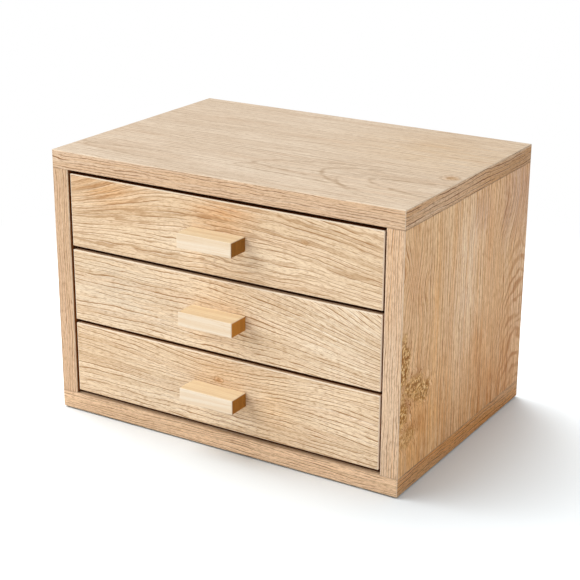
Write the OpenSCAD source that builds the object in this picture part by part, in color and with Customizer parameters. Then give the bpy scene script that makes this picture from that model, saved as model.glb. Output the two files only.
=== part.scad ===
// Desktop cabinet with three wooden drawers that hang on wooden runners.
// Front faces -Y, +X is the right-hand side seen from the front, +Z is up.
// The origin is on the surface it stands on, under the middle of cabinet and handles.

/* [Cabinet] */
// Width across the cabinet
cabinet_w = 320; // [240:5:400]
// Depth of the cabinet, front edges of the boards to the back
cabinet_d = 225; // [180:5:300]
// Height of the boards, without the foot pads
cabinet_h = 225; // [207:3:300]
// Thickness of the top, bottom and side boards
board_t = 15; // [13:1:18]
// Radius of the eased outer edges of the boards
arris = 0.8; // [0.4:0.1:2]
// Radius of the eased edges where two boards meet
joint_arris = 0.3; // [0.1:0.1:1]
// Thickness of the back sheet
back_t = 3; // [2.5:0.5:5]
// Width of the rebate that takes the edge of the back sheet
rebate_w = 7; // [5:0.5:8]

/* [Foot pads] */
// Thickness of the round pads under the cabinet
pad_t = 1; // [1:0.5:4]
// Diameter of the pads
pad_dia = 20; // [10:1:30]
// Distance of a pad's centre from the edges of the bottom board
pad_inset = 20; // [15:1:40]

/* [Drawer fronts] */
// Thickness of a drawer front
front_t = 12; // [11:1:15]
// Radius of the eased edges of a drawer front
front_arris = 1.2; // [0.4:0.1:2.5]
// Distance of the fronts behind the edges of the boards
front_recess = 1; // [0:0.25:3]
// Gap between a front and the side boards
side_gap = 1.75; // [1:0.25:3]
// Gap above, between and below the fronts
level_gap = 3; // [1.5:0.25:4]

/* [Handles] */
// Length of a handle block across the front
handle_w = 50; // [44:1:80]
// Depth of a handle block, how far it stands off the front
handle_d = 20; // [14:1:30]
// Height of a handle block
handle_h = 12; // [9:1:20]
// Radius of the eased edges of a handle block
handle_arris = 0.8; // [0.3:0.1:2]
// Distance between the two screws of a handle
handle_pitch = 32; // [20:1:34]

/* [Drawer boxes] */
// Thickness of the sides and back of a drawer
side_t = 10; // [9:0.5:12]
// Space between a drawer side and the cabinet side
side_space = 3; // [2:0.5:4]
// Height of a drawer side's lower edge above that of the front
side_lift = 2; // [1:0.5:4]
// Height of the front's upper edge above that of a drawer side
side_drop = 10; // [6:1:12]
// Space between a closed drawer and the back sheet
rear_space = 9; // [5:1:30]
// Thickness of a drawer's bottom sheet
bottom_t = 3; // [2.5:0.5:4]
// Height of the bottom sheet above a drawer side's lower edge
bottom_lift = 6; // [4:0.5:7]
// Depth of the grooves that hold the bottom sheet
bottom_groove = 4; // [3:0.5:4.5]

/* [Runners] */
// Height of a runner
runner_h = 10; // [9.5:0.25:10.5]
// Thickness of a runner, how far it stands off the cabinet side
runner_t = 8; // [7:0.5:8]
// Height of the groove in a drawer side
groove_h = 11; // [10.5:0.25:11.5]
// Height of the groove's middle above a drawer side's lower edge
groove_z = 25; // [24.5:0.5:30]
// Plain wood between the front and the closed end of the groove
groove_stop = 18.5; // [16:0.5:40]

/* [Pose] */
// How far the drawers are pulled out
pulled_out = 0; // [0:5:140]

/* [Hidden] */
$fn = 48;
overcut = 1;

// Drawers are counted from the lowest, level 0, to the top one
LOW = 0;
MID = 1;
TOP = 2;
LEVELS = 3;

// Cabinet, worked out from the driving dimensions
inside_w = cabinet_w - 2 * board_t;
inside_h = cabinet_h - 2 * board_t;
cabinet_front = (front_recess - cabinet_d + handle_d) / 2 - front_recess;
cabinet_back = cabinet_front + cabinet_d;
floor_z = pad_t + board_t;
ceiling_z = floor_z + inside_h;
middle_z = (floor_z + ceiling_z) / 2;

// Drawers: each is drawn with y = 0 at the back of its front and z = 0 at the front's lower edge
front_w = inside_w - 2 * side_gap;
front_h = (inside_h - (LEVELS + 1) * level_gap) / LEVELS;
drawer_y = cabinet_front + front_recess + front_t;
box_w = inside_w - 2 * side_space;
box_l = cabinet_back - back_t - rear_space - drawer_y;
side_h = front_h - side_lift - side_drop;
bottom_z = side_lift + bottom_lift;
back_board_w = box_w - 2 * side_t;

// Runners: round noses that the closed ends of the grooves stop against, with running gaps
stop_gap = 0.3;
rest_gap = 0.3;
face_gap = 0.5;
rear_gap = 4;
groove_depth = runner_t - side_space + face_gap;
groove_mid_z = side_lift + groove_z;
groove_end_y = groove_stop + groove_h / 2;
runner_mid_z = groove_mid_z + (groove_h - runner_h) / 2 - rest_gap;
runner_nose_y = groove_stop + stop_gap + runner_h / 2;
runner_l = cabinet_back - back_t - rear_gap - drawer_y - runner_nose_y;

// Dowels: [diameter, length, length in the first board]
carcass_dowel = [8, 30, 10];
drawer_dowel = [6, 20, 8];
rear_dowel_in_side = 6;
dowel_chamfer = 1;
hole_depth_spare = 0.5;
carcass_dowel_inset = 28;
drawer_dowel_heights = [side_lift + 15, side_lift + side_h - 10];

// Screws and pins: [head diameter, head height, shank diameter, full length]
runner_screw = [7, 2, 3.5, 16];
handle_screw = [8, 2.6, 4, 24.6];
back_pin = [2.4, 0.6, 1.2, 18];
back_pin_inset = 28;
bottom_pin = [3, 0.6, 1.4, 14.6];
bottom_pin_inset = 32;
runner_screw_inset = 26;
handle_hole_clearance = 0.5;
pan_side_h = 1;
tip_l = 3;
recess_depth = 1.4;
recess_slot = 0.9;

// Wood and metal colours
OAK = [0.83, 0.70, 0.54];
OAK_FRONT = [0.86, 0.74, 0.58];
PALE_WOOD = [0.93, 0.85, 0.72];
INNER_WOOD = [0.90, 0.82, 0.68];
SHEET = [0.80, 0.70, 0.55];
STEEL = [0.72, 0.72, 0.70];
FELT = [0.45, 0.43, 0.40];

// ---------------------------------------------------------------- shared shapes

// A rectangle from the origin with round corners, upper and lower ones of their own radius
module eased_outline(w, h, upper_r, lower_r) {
    translate([0, lower_r]) square([w, h - lower_r - upper_r]);
    translate([lower_r, 0]) square([w - 2 * lower_r, h / 2]);
    translate([upper_r, h / 2]) square([w - 2 * upper_r, h / 2]);
    for (x = [lower_r, w - lower_r]) translate([x, lower_r]) circle(lower_r);
    for (x = [upper_r, w - upper_r]) translate([x, h - upper_r]) circle(upper_r);
}

// A board from the origin with every edge eased: its upright, upper and lower edges
module eased_board(size, upright_r, upper_r, lower_r) {
    intersection() {
        linear_extrude(size.z) eased_outline(size.x, size.y, upright_r, upright_r);
        translate([0, size.y, 0]) rotate([90, 0, 0])
            linear_extrude(size.y) eased_outline(size.x, size.z, upper_r, lower_r);
        rotate([90, 0, 90])
            linear_extrude(size.x) eased_outline(size.y, size.z, upper_r, lower_r);
    }
}

// A wooden dowel along +Z from the origin, its ends chamfered
module dowel(size) {
    r = size[0] / 2;
    l = size[1];
    c = dowel_chamfer;
    rotate_extrude() polygon([[0, 0], [r - c, 0], [r, c], [r, l - c], [r - c, l], [0, l]]);
}

// A cross recess cut downwards from z = 0
module cross_recess(length) {
    for (turn = [0, 90]) rotate(turn)
        translate([-length / 2, -recess_slot / 2, -overcut])
            cube([length, recess_slot, recess_depth + overcut]);
}

// A countersunk screw along +Z, its flat head face at z = 0
module countersunk_screw(size) {
    head_r = size[0] / 2;
    shank_r = size[2] / 2;
    l = size[3];
    difference() {
        rotate_extrude() polygon([
            [0, 0], [head_r, 0], [shank_r, size[1]], [shank_r, l - tip_l], [0, l]
        ]);
        cross_recess(size[0] / 2);
    }
}

// A pan-head screw along +Z, the top of its domed head at z = 0
module pan_head_screw(size) {
    head_r = size[0] / 2;
    head_h = size[1];
    shank_r = size[2] / 2;
    l = size[3];
    dome_h = head_h - pan_side_h;
    dome_r = (head_r * head_r + dome_h * dome_h) / (2 * dome_h);
    difference() {
        union() {
            intersection() {
                cylinder(h = head_h, r = head_r);
                translate([0, 0, dome_r]) sphere(dome_r, $fn = 96);
            }
            translate([0, 0, head_h]) rotate_extrude() polygon([
                [0, 0], [shank_r, 0], [shank_r, l - head_h - tip_l], [0, l - head_h]
            ]);
        }
        cross_recess(size[0] / 2);
    }
}

// A panel pin along +Z, its flat head face at z = 0
module pin(size) {
    head_r = size[0] / 2;
    shank_r = size[2] / 2;
    l = size[3];
    rotate_extrude() polygon([
        [0, 0], [head_r, 0], [head_r, size[1]], [shank_r, size[1]],
        [shank_r, l - size[2]], [0, l]
    ]);
}

// The copy on the left-hand side of what is drawn on the right
module to_left() {
    mirror([1, 0, 0]) children();
}

// The same on both sides
module both_sides() {
    children();
    to_left() children();
}

// The copy at the bottom of the cabinet of what is drawn at the top
module turned_over() {
    translate([0, 0, 2 * middle_z]) mirror([0, 0, 1]) children();
}

// Where the drawer of a level and its runners are, closed
module at_level(level) {
    translate([0, drawer_y, floor_z + level_gap + level * (front_h + level_gap)]) children();
}

// The drawer of a level, pulled out by its share
module drawer(level) {
    translate([0, -pulled_out, 0]) at_level(level) children();
}

// ---------------------------------------------------------------- places in the cabinet

// Holes for the shanks of the pins round the back sheet, from the bottom of its rebate
module back_pin_holes() {
    at_back_pins() cylinder(h = back_pin[3], d = back_pin[2]);
}

// The three dowels of the joint between the top board and the right-hand side board
module at_corner_dowels() {
    x = (cabinet_w - board_t) / 2;
    for (y = [cabinet_front + carcass_dowel_inset,
              (cabinet_front + cabinet_back) / 2,
              cabinet_back - carcass_dowel_inset])
        translate([x, y, ceiling_z + carcass_dowel[2]]) rotate([180, 0, 0]) children();
}

// Round holes for those dowels, a little deeper than the dowels at both ends
module corner_dowel_holes() {
    at_corner_dowels() translate([0, 0, -hole_depth_spare])
        cylinder(h = carcass_dowel[1] + 2 * hole_depth_spare, d = carcass_dowel[0]);
}

// The two screws of a right-hand runner, in the drawer's own place
module at_runner_screws() {
    first = runner_nose_y + runner_screw_inset;
    last = runner_nose_y + runner_l - runner_screw_inset;
    for (y = [first, last])
        translate([inside_w / 2 - runner_t, y, runner_mid_z]) rotate([0, 90, 0]) children();
}

// The space of the back sheet in its rebate
module back_sheet_space(depth) {
    translate([-inside_w / 2 - rebate_w, cabinet_back - back_t, floor_z - rebate_w])
        cube([inside_w + 2 * rebate_w, depth, inside_h + 2 * rebate_w]);
}

// The pins round the edge of the back sheet: three above and below, two on each side
module at_back_pins() {
    edge_x = (inside_w + rebate_w) / 2;
    edge_z = (inside_h + rebate_w) / 2;
    corner_x = edge_x - back_pin_inset;
    for (x = [-corner_x, 0, corner_x], z = [-edge_z, edge_z])
        translate([x, cabinet_back, middle_z + z]) rotate([90, 0, 0]) children();
    for (x = [-edge_x, edge_x], z = [-edge_z / 3, edge_z / 3])
        translate([x, cabinet_back, middle_z + z]) rotate([90, 0, 0]) children();
}

// ---------------------------------------------------------------- places in a drawer

// The dowels between the front and the right-hand side of a drawer
module at_front_dowels() {
    for (z = drawer_dowel_heights)
        translate([(box_w - side_t) / 2, -drawer_dowel[2], z]) rotate([-90, 0, 0]) children();
}

// The dowels between the right-hand side and the back of a drawer
module at_rear_dowels() {
    x = back_board_w / 2 + rear_dowel_in_side;
    for (z = drawer_dowel_heights)
        translate([x, box_l - side_t / 2, z]) rotate([0, -90, 0]) children();
}

// A hole for a drawer dowel, a little deeper than the dowel at both ends
module drawer_dowel_hole() {
    translate([0, 0, -hole_depth_spare])
        cylinder(h = drawer_dowel[1] + 2 * hole_depth_spare, d = drawer_dowel[0]);
}

// The two screws of the handle, their heads on the back of the front
module at_handle_screws() {
    for (x = [-handle_pitch / 2, handle_pitch / 2])
        translate([x, handle_screw[1], front_h / 2]) rotate([90, 0, 0]) children();
}

// The three pins under the back edge of the bottom sheet, between the dowels of the corners
module at_bottom_pins() {
    reach = back_board_w / 2 - bottom_pin_inset;
    for (x = [-reach, 0, reach])
        translate([x, box_l - side_t / 2, bottom_z - bottom_pin[1]]) children();
}

// The runner groove of a right-hand drawer side: open at the back, round at its closed end
module runner_groove() {
    translate([box_w / 2 - groove_depth, groove_end_y, groove_mid_z])
        rotate([90, 0, 90]) linear_extrude(groove_depth + overcut) {
            circle(d = groove_h);
            translate([0, -groove_h / 2]) square([box_l, groove_h]);
        }
}

// The space of the bottom sheet in its grooves
module bottom_sheet_space(length) {
    reach = back_board_w / 2 + bottom_groove;
    translate([-reach, -bottom_groove, bottom_z]) cube([2 * reach, length, bottom_t]);
}

// ---------------------------------------------------------------- cabinet pieces

module long_board() {
    color(OAK)
    difference() {
        translate([-cabinet_w / 2, cabinet_front, ceiling_z])
            eased_board([cabinet_w, cabinet_d, board_t], arris, arris, joint_arris);
        both_sides() corner_dowel_holes();
        back_sheet_space(back_t + overcut);
        back_pin_holes();
    }
}

module top_panel() {
    long_board();
}

module bottom_panel() {
    turned_over() long_board();
}

module side_panel() {
    color(OAK)
    difference() {
        translate([inside_w / 2, cabinet_front, floor_z])
            eased_board([board_t, cabinet_d, inside_h], arris, joint_arris, joint_arris);
        corner_dowel_holes();
        turned_over() corner_dowel_holes();
        back_sheet_space(back_t + overcut);
        back_pin_holes();
        for (level = [LOW, MID, TOP]) at_level(level) at_runner_screws()
            cylinder(h = runner_screw[3] + hole_depth_spare, d = runner_screw[2]);
    }
}

module back_panel() {
    color(SHEET)
    difference() {
        back_sheet_space(back_t);
        at_back_pins() pin(back_pin);
    }
}

module carcass_dowels() {
    color(INNER_WOOD) both_sides() {
        at_corner_dowels() dowel(carcass_dowel);
        turned_over() at_corner_dowels() dowel(carcass_dowel);
    }
}

module back_panel_pins() {
    color(STEEL) at_back_pins() pin(back_pin);
}

module foot_pads() {
    x = cabinet_w / 2 - pad_inset;
    color(FELT)
    for (sx = [-x, x], y = [cabinet_front + pad_inset, cabinet_back - pad_inset])
        translate([sx, y, 0]) cylinder(h = pad_t, d = pad_dia);
}

// The right-hand runner of a drawer, its nose round as the end of the groove
module runner() {
    color(INNER_WOOD)
    difference() {
        translate([inside_w / 2 - runner_t, runner_nose_y, runner_mid_z])
            rotate([90, 0, 90]) linear_extrude(runner_t) {
                circle(d = runner_h);
                translate([0, -runner_h / 2]) square([runner_l, runner_h]);
            }
        at_runner_screws() {
            cylinder(h = runner_t + overcut, d = runner_screw[2]);
            cylinder(h = runner_screw[1], d1 = runner_screw[0], d2 = runner_screw[2]);
        }
    }
}

module runner_screws() {
    color(STEEL)
    for (level = [LOW, MID, TOP]) at_level(level) both_sides()
        at_runner_screws() countersunk_screw(runner_screw);
}

// ---------------------------------------------------------------- drawer pieces

module drawer_front() {
    color(OAK_FRONT)
    difference() {
        translate([-front_w / 2, -front_t, 0])
            eased_board([front_w, front_t, front_h], front_arris, front_arris, front_arris);
        bottom_sheet_space(bottom_groove + overcut);
        both_sides() at_front_dowels() drawer_dowel_hole();
        at_handle_screws()
            cylinder(h = handle_screw[3], d = handle_screw[2] + handle_hole_clearance);
    }
}

module drawer_handle() {
    color(PALE_WOOD)
    difference() {
        translate([-handle_w / 2, -front_t - handle_d, (front_h - handle_h) / 2])
            eased_board([handle_w, handle_d, handle_h], handle_arris, handle_arris, handle_arris);
        at_handle_screws() cylinder(h = handle_screw[3] + hole_depth_spare, d = handle_screw[2]);
    }
}

// The right-hand side of a drawer, with its runner groove and the groove of the bottom sheet
module drawer_side() {
    color(INNER_WOOD)
    difference() {
        translate([box_w / 2 - side_t, 0, side_lift])
            eased_board([side_t, box_l, side_h], joint_arris, arris, joint_arris);
        runner_groove();
        bottom_sheet_space(box_l + bottom_groove + overcut);
        at_front_dowels() drawer_dowel_hole();
        at_rear_dowels() drawer_dowel_hole();
    }
}

// The back stands on the bottom sheet, which slides in under it
module drawer_back() {
    color(INNER_WOOD)
    difference() {
        translate([-back_board_w / 2, box_l - side_t, bottom_z + bottom_t])
            eased_board([back_board_w, side_t, side_h - bottom_lift - bottom_t],
                        joint_arris, arris, joint_arris);
        both_sides() at_rear_dowels() drawer_dowel_hole();
        at_bottom_pins() cylinder(h = bottom_pin[3] + hole_depth_spare, d = bottom_pin[2]);
    }
}

module drawer_bottom() {
    color(SHEET)
    difference() {
        bottom_sheet_space(box_l + bottom_groove);
        at_bottom_pins() cylinder(h = bottom_pin[3], d = bottom_pin[2]);
    }
}

module drawer_dowels() {
    color(INNER_WOOD) both_sides() {
        at_front_dowels() dowel(drawer_dowel);
        at_rear_dowels() dowel(drawer_dowel);
    }
}

module drawer_handle_screws() {
    color(STEEL) at_handle_screws() pan_head_screw(handle_screw);
}

module drawer_bottom_pins() {
    color(STEEL) at_bottom_pins() pin(bottom_pin);
}

// ---------------------------------------------------------------- the pieces by name

top_panel();
bottom_panel();
to_left() side_panel();  // left_side_panel
side_panel();  // right_side_panel
back_panel();
carcass_dowels();
back_panel_pins();
foot_pads();
runner_screws();
at_level(TOP) to_left() runner();  // top_left_runner
at_level(TOP) runner();  // top_right_runner
at_level(MID) to_left() runner();  // middle_left_runner
at_level(MID) runner();  // middle_right_runner
at_level(LOW) to_left() runner();  // bottom_left_runner
at_level(LOW) runner();  // bottom_right_runner

drawer(TOP) drawer_front();  // top_drawer_front
drawer(TOP) drawer_handle();  // top_drawer_handle
drawer(TOP) to_left() drawer_side();  // top_drawer_left_side
drawer(TOP) drawer_side();  // top_drawer_right_side
drawer(TOP) drawer_back();  // top_drawer_back
drawer(TOP) drawer_bottom();  // top_drawer_bottom
drawer(TOP) drawer_dowels();  // top_drawer_dowels
drawer(TOP) drawer_handle_screws();  // top_drawer_handle_screws
drawer(TOP) drawer_bottom_pins();  // top_drawer_bottom_pins

drawer(MID) drawer_front();  // middle_drawer_front
drawer(MID) drawer_handle();  // middle_drawer_handle
drawer(MID) to_left() drawer_side();  // middle_drawer_left_side
drawer(MID) drawer_side();  // middle_drawer_right_side
drawer(MID) drawer_back();  // middle_drawer_back
drawer(MID) drawer_bottom();  // middle_drawer_bottom
drawer(MID) drawer_dowels();  // middle_drawer_dowels
drawer(MID) drawer_handle_screws();  // middle_drawer_handle_screws
drawer(MID) drawer_bottom_pins();  // middle_drawer_bottom_pins

drawer(LOW) drawer_front();  // bottom_drawer_front
drawer(LOW) drawer_handle();  // bottom_drawer_handle
drawer(LOW) to_left() drawer_side();  // bottom_drawer_left_side
drawer(LOW) drawer_side();  // bottom_drawer_right_side
drawer(LOW) drawer_back();  // bottom_drawer_back
drawer(LOW) drawer_bottom();  // bottom_drawer_bottom
drawer(LOW) drawer_dowels();  // bottom_drawer_dowels
drawer(LOW) drawer_handle_screws();  // bottom_drawer_handle_screws
drawer(LOW) drawer_bottom_pins();  // bottom_drawer_bottom_pins
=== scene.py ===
"""Dresses the desktop drawer cabinet in its woods, sheet, metal and felt, and puts it in a plain studio.

The file is laid out as an add-on and run as a script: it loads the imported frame, calls one operator for
each group of pieces and finishes. Lengths are in metres, the drawer fronts face -Y and +Z is up.
"""

import math

import bpy
import numpy as np
from bpy.props import FloatProperty, FloatVectorProperty, PointerProperty
from bpy.types import Operator, Panel, PropertyGroup
from mathutils import Matrix, Vector


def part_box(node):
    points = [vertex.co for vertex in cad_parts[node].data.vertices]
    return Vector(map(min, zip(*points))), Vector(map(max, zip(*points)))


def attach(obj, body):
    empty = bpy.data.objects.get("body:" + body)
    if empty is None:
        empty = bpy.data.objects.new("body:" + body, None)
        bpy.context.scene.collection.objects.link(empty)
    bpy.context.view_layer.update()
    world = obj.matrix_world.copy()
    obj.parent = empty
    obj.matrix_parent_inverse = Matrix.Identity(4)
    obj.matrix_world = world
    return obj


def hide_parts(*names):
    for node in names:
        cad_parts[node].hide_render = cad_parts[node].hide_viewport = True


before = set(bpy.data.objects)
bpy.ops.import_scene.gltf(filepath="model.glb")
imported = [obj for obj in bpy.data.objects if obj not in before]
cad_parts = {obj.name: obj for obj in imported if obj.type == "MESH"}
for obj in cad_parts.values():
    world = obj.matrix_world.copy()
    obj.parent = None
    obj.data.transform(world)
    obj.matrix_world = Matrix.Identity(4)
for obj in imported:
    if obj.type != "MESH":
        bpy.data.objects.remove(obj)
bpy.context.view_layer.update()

bl_info = {
    "name": "Desktop drawer cabinet",
    "version": (1, 0, 0),
    "blender": (4, 5, 0),
    "location": "3D Viewport > Sidebar > Cabinet",
    "description": "Oak veneer, pale handles, drawer boxes, metal, felt pads and studio of a drawer cabinet",
    "category": "Object",
}

MM = 0.001
TURN = 2.0 * math.pi
DRAWERS = ("top", "middle", "bottom")
# Y of the outer faces of the drawer fronts
FRONT_FACE = -102 * MM
# Shade of each handle's ends and strength of the flecks on them
HANDLE_ENDS = {"top": (1.02, 0.35), "middle": (1.74, 0.45), "bottom": (1.25, 1.0)}
WHITE, BLACK = (1.0, 1.0, 1.0, 1.0), (0.0, 0.0, 0.0, 1.0)


# ---------------------------------------------------------------- settings

def tone(name, description, default):
    """A colour setting: linear red, green and blue from 0 to 1."""
    return FloatVectorProperty(
        name=name, description=description, default=default, size=3, min=0.0, max=1.0, subtype="COLOR"
    )


def number(name, description, default, **kind):
    """A number setting with its unit, subtype or limits."""
    return FloatProperty(name=name, description=description, default=default, **kind)


def share(name, description, default, highest=1.0):
    """A plain number setting from 0 upwards."""
    return number(name, description, default, min=0.0, max=highest)


def angle(name, description, degrees):
    """An angle setting, given in degrees."""
    return number(name, description, math.radians(degrees), subtype="ANGLE")


def length(name, description, default, **limits):
    """A length setting in metres."""
    return number(name, description, default, unit="LENGTH", **limits)


def power(name, description, default):
    """The power of a lamp in watts."""
    return number(name, description, default, unit="POWER", min=0.0)


class OakSettings(PropertyGroup):
    """Colours and strengths of the oak veneer."""

    pale: tone("Pale oak", "Palest tone of the veneer", (0.94, 0.745, 0.52))
    tan: tone("Tan oak", "Tone of the broad darker stripes", (0.70, 0.49, 0.29))
    rose: tone("Rose oak", "Pinkish tone between the stripes", (0.78, 0.53, 0.34))
    pore: tone("Pores", "Tone of the open pores and dark lines", (0.38, 0.19, 0.068))
    edge: tone("Edge band", "Tone of the banded board edges", (0.80, 0.55, 0.35))
    flame: tone("Flame", "Orange tone round knots and flames", (0.72, 0.38, 0.15))
    # The next two tones are painted shade. They are laid over the faces inside the cabinet and over the drawer
    # fronts' edges, so the gaps between the parts look dark.
    inside: tone("Inside painted shade", "Painted shade over the faces inside the cabinet, darkening the gaps", (0.36, 0.17, 0.07))
    core: tone("Front edge painted shade", "Painted shade over the drawer fronts' edges, darkening the gaps between them", (0.235, 0.100, 0.026))
    # Painted highlight along the rounded edges, stronger on those that face up.
    arris: tone("Arris", "Painted highlight on the eased edges", (0.96, 0.83, 0.65))
    streaks: share("Streaks", "Strength of the dark streaks along the grain", 0.90)
    pores: share("Pore depth", "Strength of the fine pores", 0.36)
    bands: share("Growth bands", "Strength of the growth rings", 0.45)


class InsideSettings(PropertyGroup):
    """Colours of the handles, the drawer boxes, the sheets, the metal and the felt."""

    handle: tone("Handle", "Pale wood of the handle blocks", (0.89, 0.765, 0.605))
    handle_line: tone("Handle lines", "Darker grain of the handle blocks", (0.74, 0.52, 0.29))
    handle_flat: tone("Handle, flat grain", "Yellow tone of a handle's upper and lower faces", (0.955, 0.785, 0.53))
    handle_end: tone("Handle, end grain", "Brown tone of a handle's ends", (0.33, 0.139, 0.025))
    box: tone("Drawer box", "Plain wood of the drawer sides and backs", (0.80, 0.64, 0.44))
    box_line: tone("Drawer box lines", "Darker grain of the drawer sides and backs", (0.58, 0.40, 0.22))
    beech: tone("Beech", "Wood of the runners and dowels", (0.72, 0.50, 0.31))
    beech_fleck: tone("Beech flecks", "Small flecks in the beech", (0.40, 0.22, 0.11))
    sheet: tone("Sheet", "Face of the thin plywood", (0.72, 0.55, 0.36))
    sheet_line: tone("Sheet lines", "Figure and glue lines of the thin plywood", (0.46, 0.29, 0.15))
    zinc: tone("Zinc", "Bright zinc plating", (0.68, 0.68, 0.66))
    felt: tone("Felt", "Felt of the foot pads", (0.17, 0.155, 0.135))


class StudioSettings(PropertyGroup):
    """Camera, lamps and floor."""

    camera_x: length("Camera X", "Place of the camera", 0.6121)
    camera_y: length("Camera Y", "Place of the camera", -1.0025)
    camera_z: length("Camera Z", "Place of the camera", 0.5276)
    turn: angle("Turn", "Turn of the view to the left of +Y", 31.30)
    dip: angle("Dip", "Angle of the view below the horizon", 19.79)
    roll: angle("Roll", "Roll of the camera to the right", 0.33)
    lens: number("Lens", "Focal length on a 36 mm wide sensor", 92.84, min=10.0, subtype="DISTANCE_CAMERA")
    key: power("Key lamp", "Power of the large soft lamp on the cabinet", 66.0)
    key_turn: angle("Key turn", "Direction of the key lamp, from -X towards -Y", 42.0)
    key_rise: angle("Key rise", "Height of the key lamp above the horizon", 36.0)
    key_size: length("Key size", "Side of the square key lamp", 2.4, min=0.05)
    floor_key: power("Floor lamp", "Power of the lamp that lights the floor alone", 238.0)
    floor_key_turn: angle("Floor lamp turn", "Direction of the floor's lamp, from -X towards -Y", -15.0)
    floor_key_rise: angle("Floor lamp rise", "Height of the floor's lamp above the horizon", 56.0)
    floor_key_size: length("Floor lamp size", "Side of the floor's square lamp", 4.2, min=0.05)
    reach: length("Lamp distance", "Distance of both lamps from the cabinet", 3.2, min=0.5)
    aim: length("Lamp aim", "Height above the floor that both lamps face", 0.11)
    sky: share("Sky", "Strength of the even light from all round", 0.575, 2.0)
    floor_size: length("Floor", "Side of the square floor", 8.0, min=1.0)


# ---------------------------------------------------------------- node trees

def sum_with(operation, turned=False):
    """A method that adds one Math node, with the signal as its first value or, turned, as its second."""
    def method(self, other=None):
        return self.tree.math(operation, *((other, self) if turned else (self, other)))
    return method


class Signal:
    """One output of a node. A sum or comparison with it adds a Math node to its tree."""

    __add__, __radd__ = sum_with("ADD"), sum_with("ADD", True)
    __sub__, __rsub__ = sum_with("SUBTRACT"), sum_with("SUBTRACT", True)
    __mul__, __truediv__ = sum_with("MULTIPLY"), sum_with("DIVIDE")
    __gt__, __abs__ = sum_with("GREATER_THAN"), sum_with("ABSOLUTE")

    def __init__(self, tree, socket):
        self.tree = tree
        self.socket = socket


class Outputs:
    """The outputs of a node as signals, by number or by name."""

    def __init__(self, tree, node):
        self.tree = tree
        self.sockets = node.outputs

    def __getitem__(self, key):
        return Signal(self.tree, self.sockets[key])


class Tree:
    """A node tree being filled."""

    def __init__(self, tree):
        self.nodes = tree.nodes
        self.links = tree.links

    def feed(self, socket, value):
        """Links a signal to the socket, or sets the socket to a constant."""
        if isinstance(value, Signal):
            self.links.new(value.socket, socket)
        elif value is not None:
            socket.default_value = value

    def add(self, kind, values=(), **settings):
        """The outputs of a new node with these settings, its sockets fed by name or number."""
        node = self.nodes.new(kind)
        for name, value in settings.items():
            setattr(node, name, value)
        for key, value in dict(values).items():
            self.feed(node.inputs[key], value)
        return Outputs(self, node)

    def place(self, group, values):
        """The outputs of a node group, with its own values."""
        return self.add("ShaderNodeGroup", values, node_tree=group)

    def math(self, operation, a, b=None, clamp=False):
        """One sum: a and, where it takes two, b."""
        return self.add("ShaderNodeMath", {0: a, 1: b}, operation=operation, use_clamp=clamp)[0]

    def split(self, vector):
        """The three components of a vector."""
        return self.add("ShaderNodeSeparateXYZ", {0: vector})

    def join(self, x, y, z):
        """A vector of three components."""
        return self.add("ShaderNodeCombineXYZ", {0: x, 1: y, 2: z})[0]

    def point(self):
        """The three object coordinates."""
        return self.split(self.add("ShaderNodeTexCoord")["Object"])

    def normal(self):
        """The three components of the face's own normal."""
        return self.split(self.add("ShaderNodeNewGeometry")["True Normal"])

    def noise(self, x, y, z, detail=2.0):
        """Soft noise from 0 to 1 at a point given by its three components."""
        return self.add("ShaderNodeTexNoise", {"Vector": self.join(x, y, z), "Scale": 1.0, "Detail": detail})[0]

    def span(self, value, low, high, first=0.0, last=1.0):
        """A soft step: first below low, last above high."""
        return self.add(
            "ShaderNodeMapRange",
            {"Value": value, "From Min": low, "From Max": high, "To Min": first, "To Max": last},
            interpolation_type="SMOOTHSTEP",
        )[0]

    def choose(self, factor, a, b):
        """A number: a at factor 0, b at factor 1."""
        return self.add("ShaderNodeMix", {0: factor, 2: a, 3: b}, data_type="FLOAT")[0]

    def tint(self, factor, a, b, way="MIX"):
        """A colour: a at factor 0, b at factor 1."""
        return self.add("ShaderNodeMix", {0: factor, 6: a, 7: b}, data_type="RGBA", blend_type=way)[2]

    def shade(self, factor, a, b):
        """A colour: a at factor 0, a times b at factor 1."""
        return self.tint(factor, a, b, "MULTIPLY")

    def comb(self, place, period, shift):
        """Even waves from -1 to 1 across the grain: sin(2 pi (place / period + shift))"""
        return self.math("SINE", (place * (1.0 / period) + shift) * TURN)

    def layers(self, along, across, seed):
        """A maker of noise drawn out along the grain, given its cells per metre along and across."""
        return lambda along_per_m, across_per_m, step, detail=2.0: self.noise(
            along * along_per_m, across * across_per_m, seed + step, detail)

    def hump(self, along, across, at_along, at_across, reach_along, reach_across):
        """1 at a point, falling to 0 past its reach: exp(-(u * u + v * v))"""
        u = (along - at_along) / reach_along
        v = (across - at_across) / reach_across
        return self.math("EXPONENT", (u * u + v * v) * -1.0)


def node_group(numbers, colours=(), vectors=()):
    """Makes a function into a shared node group, built at its first call and then used again.

    The three lists name its inputs. The function is given the group's tree and inputs and returns the
    outputs by name. The output called Color is a colour, all the others are numbers."""
    inputs = {"NodeSocketFloat": numbers, "NodeSocketColor": colours, "NodeSocketVector": vectors}

    def build(maker):
        """Makes the group and fills it."""
        group = bpy.data.node_groups.new(maker.__name__, "ShaderNodeTree")
        for kind, names in inputs.items():
            for name in names:
                group.interface.new_socket(name, in_out="INPUT", socket_type=kind)
        tree = Tree(group)
        outputs = maker(tree, tree.add("NodeGroupInput"))
        for name in outputs:
            kind = "NodeSocketColor" if name == "Color" else "NodeSocketFloat"
            group.interface.new_socket(name, in_out="OUTPUT", socket_type=kind)
        ends = tree.nodes.new("NodeGroupOutput").inputs
        for name, value in outputs.items():
            tree.feed(ends[name], value)
        return group

    return lambda maker: lambda: bpy.data.node_groups.get(maker.__name__) or build(maker)


# The part of a normal along an axis from which a face is taken to look that way
FACING = 0.7
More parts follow.
